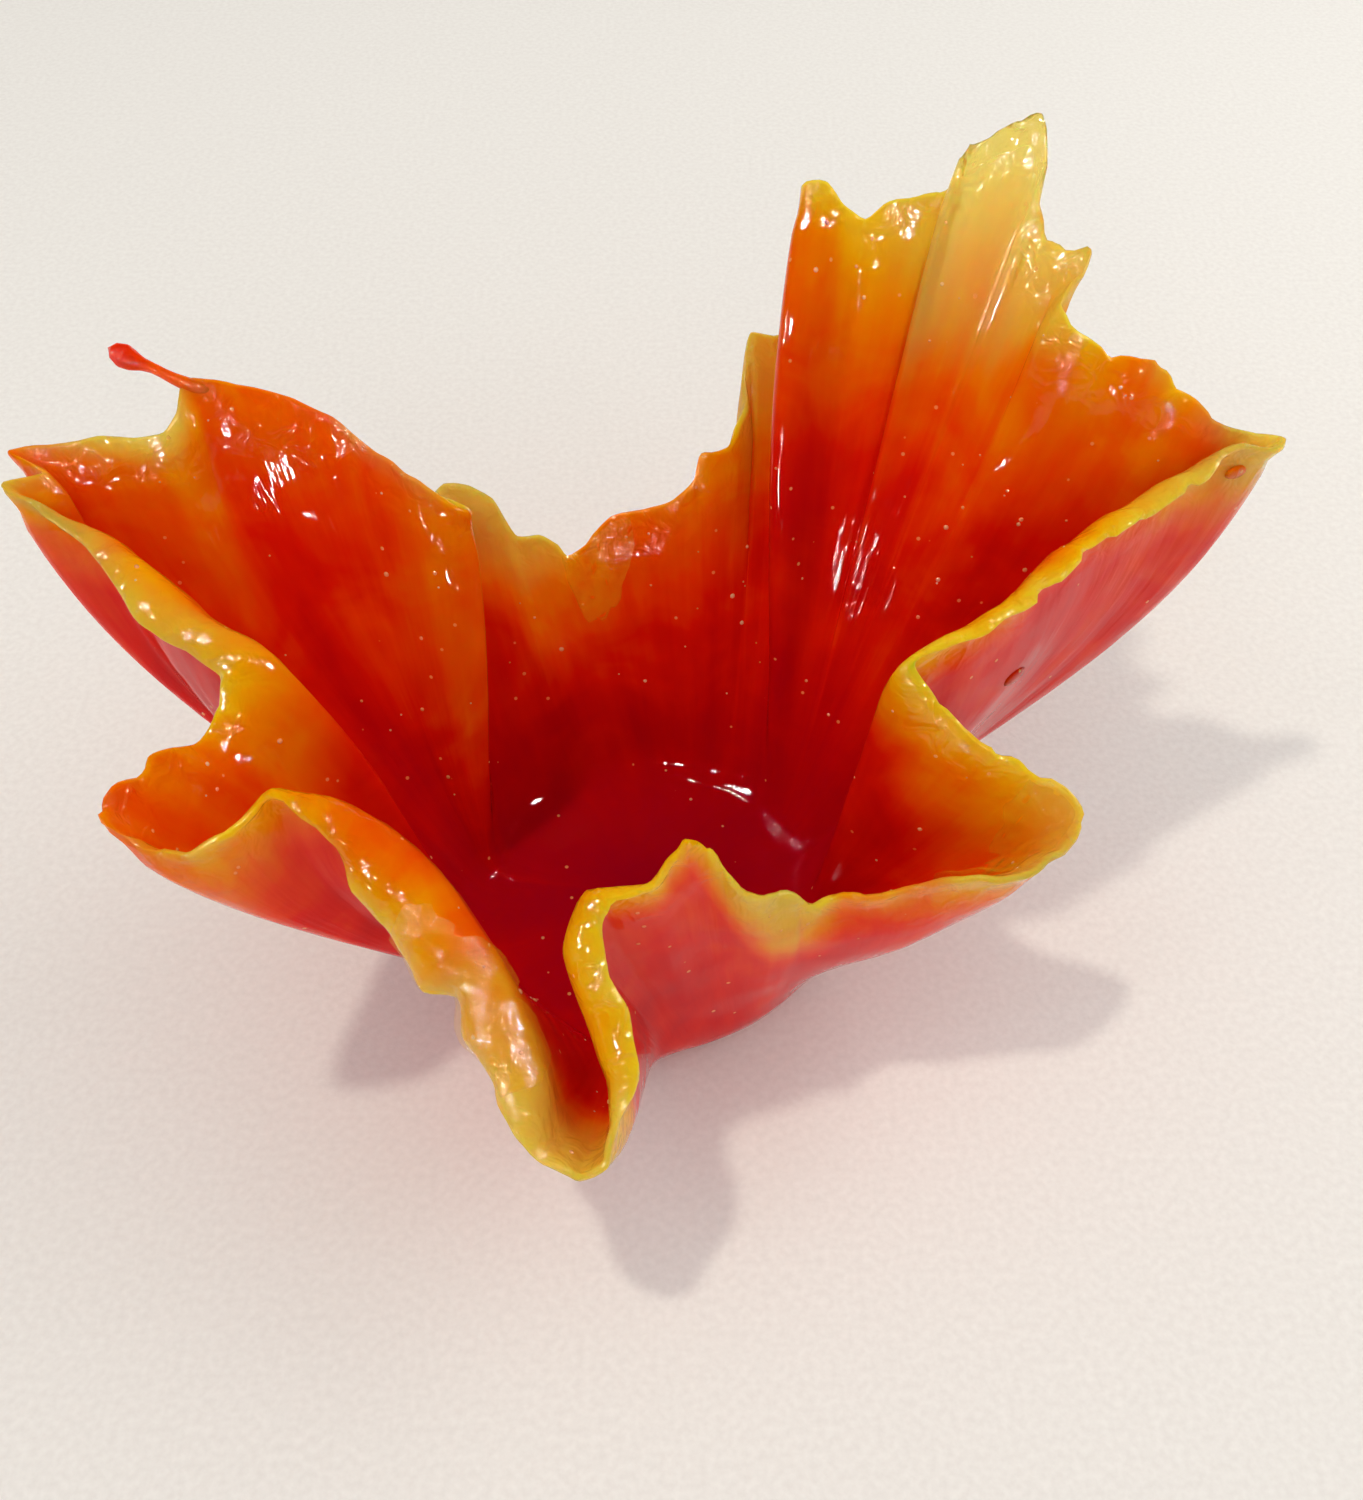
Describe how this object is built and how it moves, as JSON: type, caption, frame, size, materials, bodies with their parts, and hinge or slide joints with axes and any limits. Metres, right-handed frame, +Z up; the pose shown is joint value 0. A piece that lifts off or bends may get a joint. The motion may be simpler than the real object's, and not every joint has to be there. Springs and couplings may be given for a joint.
{
  "type": "draped art bowl",
  "caption": "Free-form decorative bowl: a thin tinted sheet draped from a flat round foot into tall pleated petals with turned, ragged lips.",
  "frame": {"origin": "centre of the flat round foot, on its underside", "axes": "+Z up out of the bowl's mouth; +X to the pointed right petal; +Y to the tall back petal's side"},
  "size_m": [0.1786, 0.1291, 0.1038],
  "materials": {
    "tinted_sheet": "poured tinted resin, wet gloss, crimson floor running through orange to a yellow edge",
    "clear_film": "thin clear overflow skin, crinkled and glossy"
  },
  "bodies": {
    "root": {"draped_sheet": "tinted_sheet", "spout_lip_film": "clear_film", "right_petal_film": "clear_film", "back_rim_film": "clear_film"}
  },
  "joints": []
}
